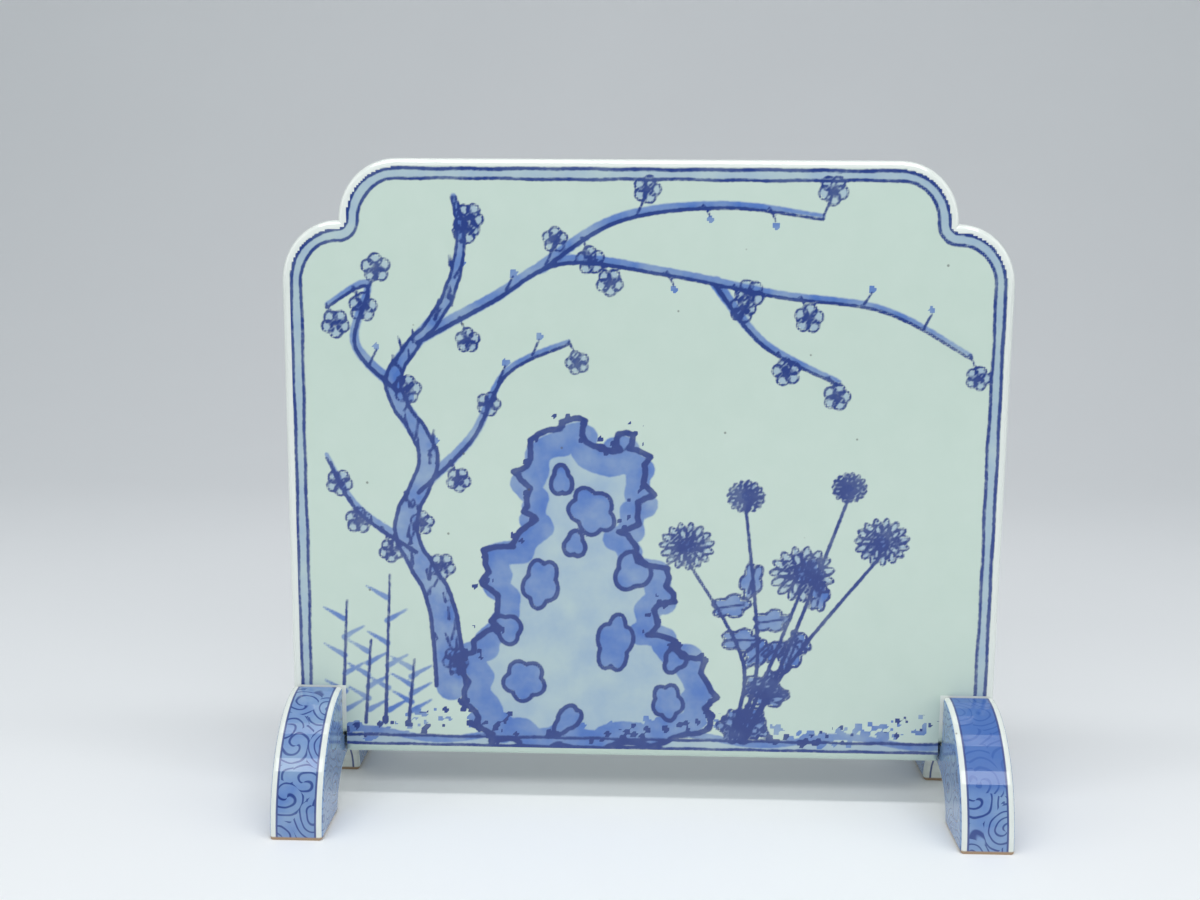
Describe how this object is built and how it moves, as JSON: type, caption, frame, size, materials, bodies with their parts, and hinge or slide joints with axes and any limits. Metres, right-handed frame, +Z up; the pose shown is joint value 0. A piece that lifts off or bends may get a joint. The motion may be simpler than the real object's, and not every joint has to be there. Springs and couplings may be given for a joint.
{
  "type": "inkstone screen",
  "caption": "Glazed blue-and-white porcelain table screen: an upright slab with lobed upper corners standing in two bridge-arch feet.",
  "frame": {"origin": "centre of the footprint, on the surface the feet rest on", "axes": "+X along the panel, -Y to the viewer, +Z up"},
  "size_m": [0.21, 0.0736, 0.1915],
  "materials": {
    "painted_panel_glaze": "glossy",
    "painted_foot_glaze": "glossy"
  },
  "bodies": {
    "root": {"panel": "painted_panel_glaze", "left_foot": "painted_foot_glaze", "right_foot": "painted_foot_glaze"}
  },
  "joints": []
}
